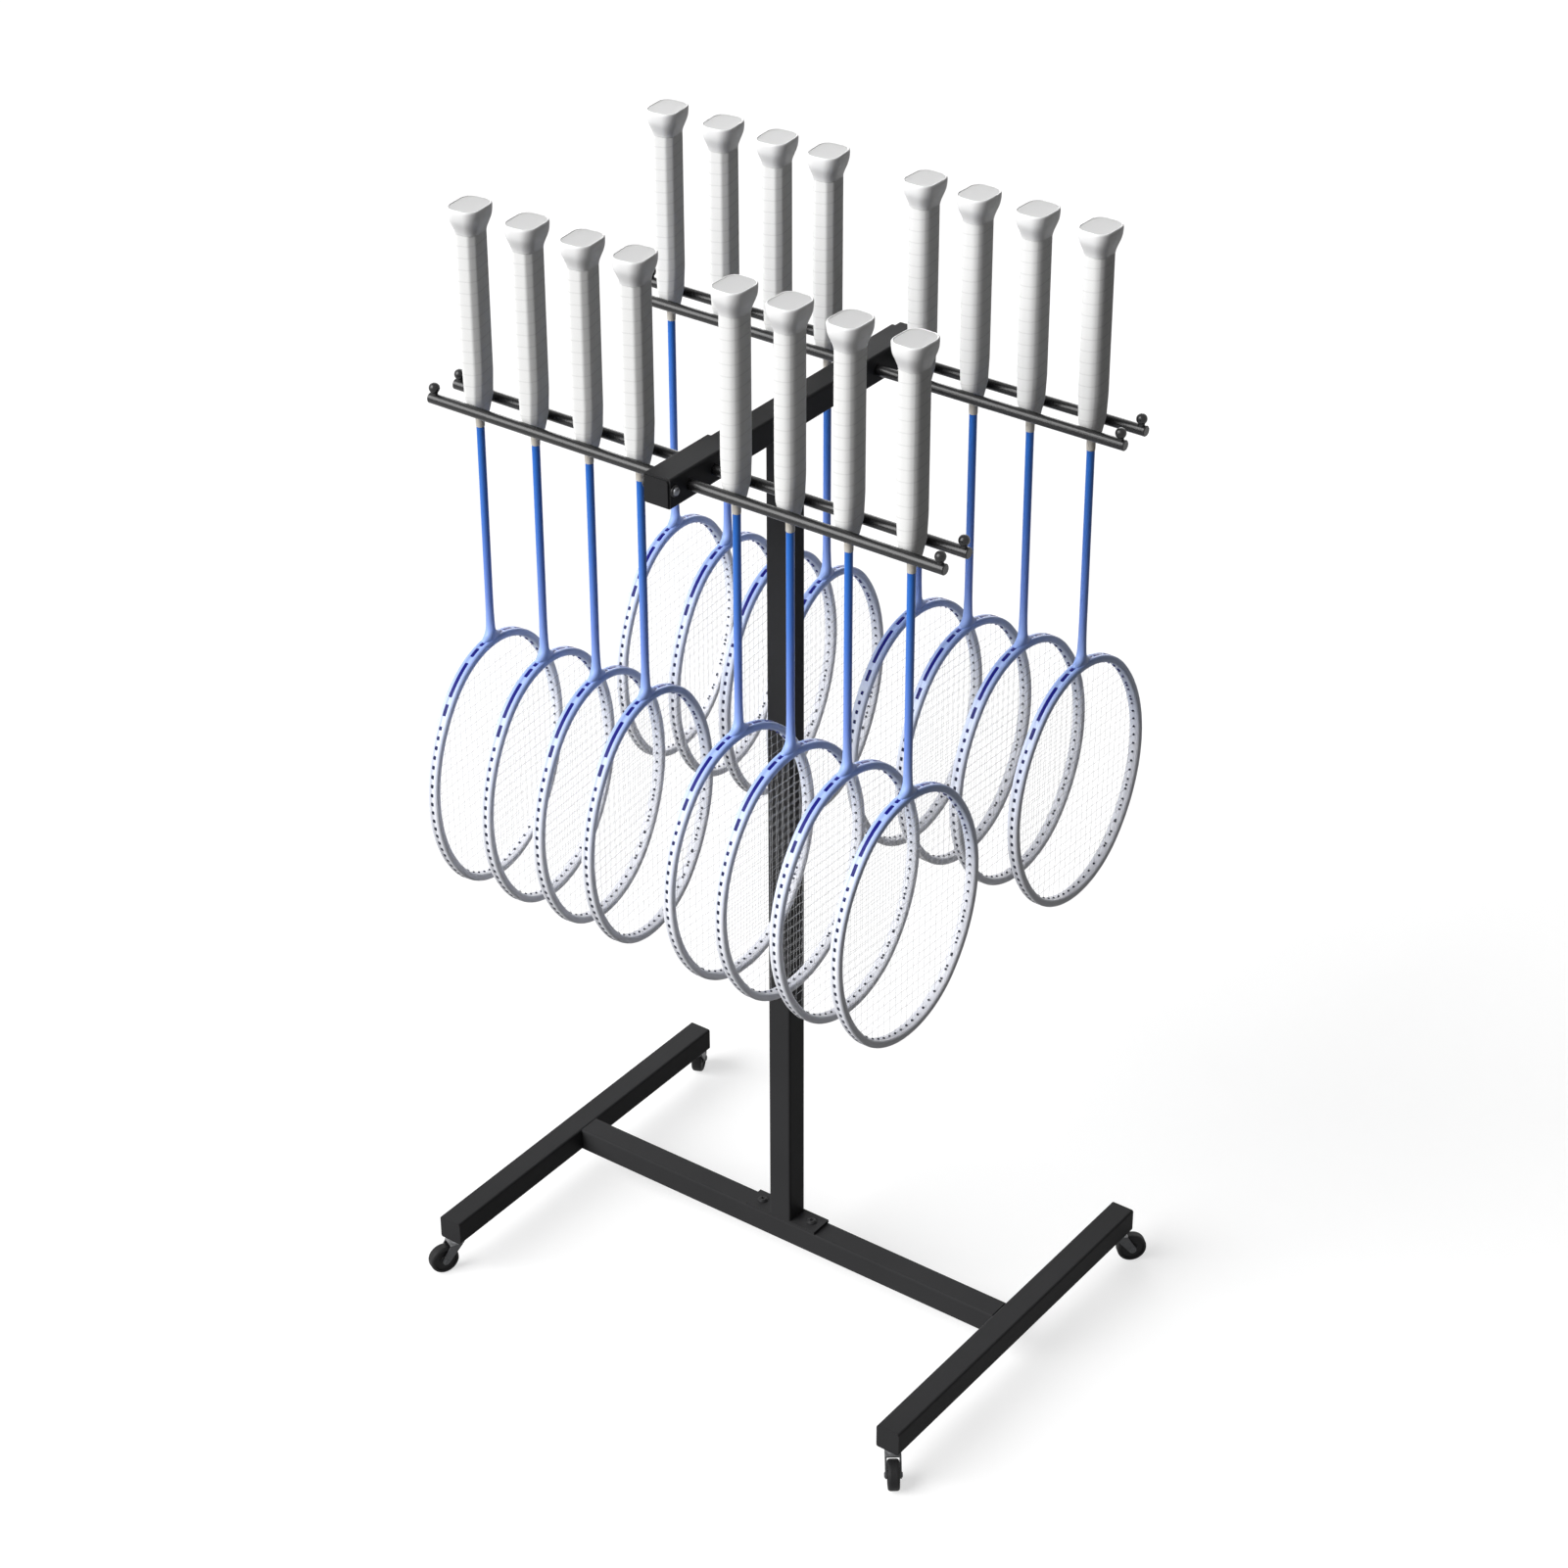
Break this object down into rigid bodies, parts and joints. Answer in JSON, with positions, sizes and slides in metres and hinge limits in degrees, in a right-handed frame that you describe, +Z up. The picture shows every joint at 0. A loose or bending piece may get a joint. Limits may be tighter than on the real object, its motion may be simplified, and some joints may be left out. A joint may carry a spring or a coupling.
{
  "type": "racket display stand",
  "caption": "Free-standing rolling rack: a mast on an H-shaped base carries paired rods, between which badminton rackets hang by the taper of their grips.",
  "frame": {"origin": "on the floor under the middle of the mast", "axes": "+Z up, X along the rods, Y along the crossbar, with the front row of rackets at -Y"},
  "size_m": [0.5718, 0.4834, 1.1314],
  "materials": {
    "powder_coat": "fine matt black powder coat",
    "cap_plastic": "matt black plastic",
    "blackened_steel": "blackened steel",
    "zinc_plate": "bright zinc plate",
    "wheel_rubber": "black rubber tread",
    "grip_wrap": "white perforated wrap",
    "butt_cap": "white moulded plastic",
    "frame_lacquer": "blue to white gloss lacquer",
    "string": "white nylon string",
    "grommet": "navy grommets"
  },
  "bodies": {
    "stand": {"left_leg": "powder_coat", "right_leg": "powder_coat", "crossbeam": "powder_coat", "leg_end_caps": "cap_plastic", "mast": "powder_coat", "mast_foot_plate": "powder_coat", "foot_plate_bolts": "blackened_steel", "crossbar": "powder_coat", "crossbar_end_caps": "cap_plastic", "crossbar_bolts": "blackened_steel", "rod_front_outer": "powder_coat", "rod_front_inner": "powder_coat", "rod_back_inner": "powder_coat", "rod_back_outer": "powder_coat", "rod_ball_stops": "powder_coat", "caster_stems": "blackened_steel"},
    "caster_front_left": {"fork_front_left": "zinc_plate", "axle_front_left": "zinc_plate"},
    "wheel_front_left": {"wheel_front_left": "wheel_rubber"},
    "caster_front_right": {"fork_front_right": "zinc_plate", "axle_front_right": "zinc_plate"},
    "wheel_front_right": {"wheel_front_right": "wheel_rubber"},
    "caster_back_right": {"fork_back_right": "zinc_plate", "axle_back_right": "zinc_plate"},
    "wheel_back_right": {"wheel_back_right": "wheel_rubber"},
    "caster_back_left": {"fork_back_left": "zinc_plate", "axle_back_left": "zinc_plate"},
    "wheel_back_left": {"wheel_back_left": "wheel_rubber"},
    "racket_front_1": {"racket_front_1_grip": "grip_wrap", "racket_front_1_frame": "frame_lacquer"},
    "racket_front_2": {"racket_front_2_grip": "grip_wrap", "racket_front_2_frame": "frame_lacquer"},
    "racket_front_3": {"racket_front_3_grip": "grip_wrap", "racket_front_3_frame": "frame_lacquer"},
    "racket_front_4": {"racket_front_4_grip": "grip_wrap", "racket_front_4_frame": "frame_lacquer"},
    "racket_front_5": {"racket_front_5_grip": "grip_wrap", "racket_front_5_frame": "frame_lacquer"},
    "racket_front_6": {"racket_front_6_grip": "grip_wrap", "racket_front_6_frame": "frame_lacquer"},
    "racket_front_7": {"racket_front_7_grip": "grip_wrap", "racket_front_7_frame": "frame_lacquer"},
    "racket_front_8": {"racket_front_8_grip": "grip_wrap", "racket_front_8_frame": "frame_lacquer"},
    "racket_back_1": {"racket_back_1_grip": "grip_wrap", "racket_back_1_frame": "frame_lacquer"},
    "racket_back_2": {"racket_back_2_grip": "grip_wrap", "racket_back_2_frame": "frame_lacquer"},
    "racket_back_3": {"racket_back_3_grip": "grip_wrap", "racket_back_3_frame": "frame_lacquer"},
    "racket_back_4": {"racket_back_4_grip": "grip_wrap", "racket_back_4_frame": "frame_lacquer"},
    "racket_back_5": {"racket_back_5_grip": "grip_wrap", "racket_back_5_frame": "frame_lacquer"},
    "racket_back_6": {"racket_back_6_grip": "grip_wrap", "racket_back_6_frame": "frame_lacquer"},
    "racket_back_7": {"racket_back_7_grip": "grip_wrap", "racket_back_7_frame": "frame_lacquer"},
    "racket_back_8": {"racket_back_8_grip": "grip_wrap", "racket_back_8_frame": "frame_lacquer"}
  },
  "joints": [
    {"name": "caster_front_left_swivel", "type": "hinge", "parent": "stand", "child": "caster_front_left", "pos_m": [-0.265, -0.1975, 0.031], "axis": [0, 0, 1], "continuous": true},
    {"name": "wheel_front_left_spin", "type": "hinge", "parent": "caster_front_left", "child": "wheel_front_left", "pos_m": [-0.2718, -0.21143, 0.015], "axis": [0.8988, -0.4384, 0], "continuous": true},
    {"name": "caster_front_right_swivel", "type": "hinge", "parent": "stand", "child": "caster_front_right", "pos_m": [0.265, -0.1975, 0.031], "axis": [0, 0, 1], "continuous": true},
    {"name": "wheel_front_right_spin", "type": "hinge", "parent": "caster_front_right", "child": "wheel_front_right", "pos_m": [0.27454, -0.20971, 0.015], "axis": [0.788, 0.6157, 0], "continuous": true},
    {"name": "caster_back_right_swivel", "type": "hinge", "parent": "stand", "child": "caster_back_right", "pos_m": [0.265, 0.1975, 0.031], "axis": [0, 0, 1], "continuous": true},
    {"name": "wheel_back_right_spin", "type": "hinge", "parent": "caster_back_right", "child": "wheel_back_right", "pos_m": [0.27577, 0.20865, 0.015], "axis": [-0.7193, 0.6947, 0], "continuous": true},
    {"name": "caster_back_left_swivel", "type": "hinge", "parent": "stand", "child": "caster_back_left", "pos_m": [-0.265, 0.1975, 0.031], "axis": [0, 0, 1], "continuous": true},
    {"name": "wheel_back_left_spin", "type": "hinge", "parent": "caster_back_left", "child": "wheel_back_left", "pos_m": [-0.27155, 0.21155, 0.015], "axis": [-0.9063, -0.4226, 0], "continuous": true},
    {"name": "racket_front_1_lift", "type": "slide", "parent": "stand", "child": "racket_front_1", "axis": [0, 0, 1], "range_m": [0, 0.22]},
    {"name": "racket_front_2_lift", "type": "slide", "parent": "stand", "child": "racket_front_2", "axis": [0, 0, 1], "range_m": [0, 0.22]},
    {"name": "racket_front_3_lift", "type": "slide", "parent": "stand", "child": "racket_front_3", "axis": [0, 0, 1], "range_m": [0, 0.22]},
    {"name": "racket_front_4_lift", "type": "slide", "parent": "stand", "child": "racket_front_4", "axis": [0, 0, 1], "range_m": [0, 0.22]},
    {"name": "racket_front_5_lift", "type": "slide", "parent": "stand", "child": "racket_front_5", "axis": [0, 0, 1], "range_m": [0, 0.22]},
    {"name": "racket_front_6_lift", "type": "slide", "parent": "stand", "child": "racket_front_6", "axis": [0, 0, 1], "range_m": [0, 0.22]},
    {"name": "racket_front_7_lift", "type": "slide", "parent": "stand", "child": "racket_front_7", "axis": [0, 0, 1], "range_m": [0, 0.22]},
    {"name": "racket_front_8_lift", "type": "slide", "parent": "stand", "child": "racket_front_8", "axis": [0, 0, 1], "range_m": [0, 0.22]},
    {"name": "racket_back_1_lift", "type": "slide", "parent": "stand", "child": "racket_back_1", "axis": [0, 0, 1], "range_m": [0, 0.22]},
    {"name": "racket_back_2_lift", "type": "slide", "parent": "stand", "child": "racket_back_2", "axis": [0, 0, 1], "range_m": [0, 0.22]},
    {"name": "racket_back_3_lift", "type": "slide", "parent": "stand", "child": "racket_back_3", "axis": [0, 0, 1], "range_m": [0, 0.22]},
    {"name": "racket_back_4_lift", "type": "slide", "parent": "stand", "child": "racket_back_4", "axis": [0, 0, 1], "range_m": [0, 0.22]},
    {"name": "racket_back_5_lift", "type": "slide", "parent": "stand", "child": "racket_back_5", "axis": [0, 0, 1], "range_m": [0, 0.22]},
    {"name": "racket_back_6_lift", "type": "slide", "parent": "stand", "child": "racket_back_6", "axis": [0, 0, 1], "range_m": [0, 0.22]},
    {"name": "racket_back_7_lift", "type": "slide", "parent": "stand", "child": "racket_back_7", "axis": [0, 0, 1], "range_m": [0, 0.22]},
    {"name": "racket_back_8_lift", "type": "slide", "parent": "stand", "child": "racket_back_8", "axis": [0, 0, 1], "range_m": [0, 0.22]}
  ]
}
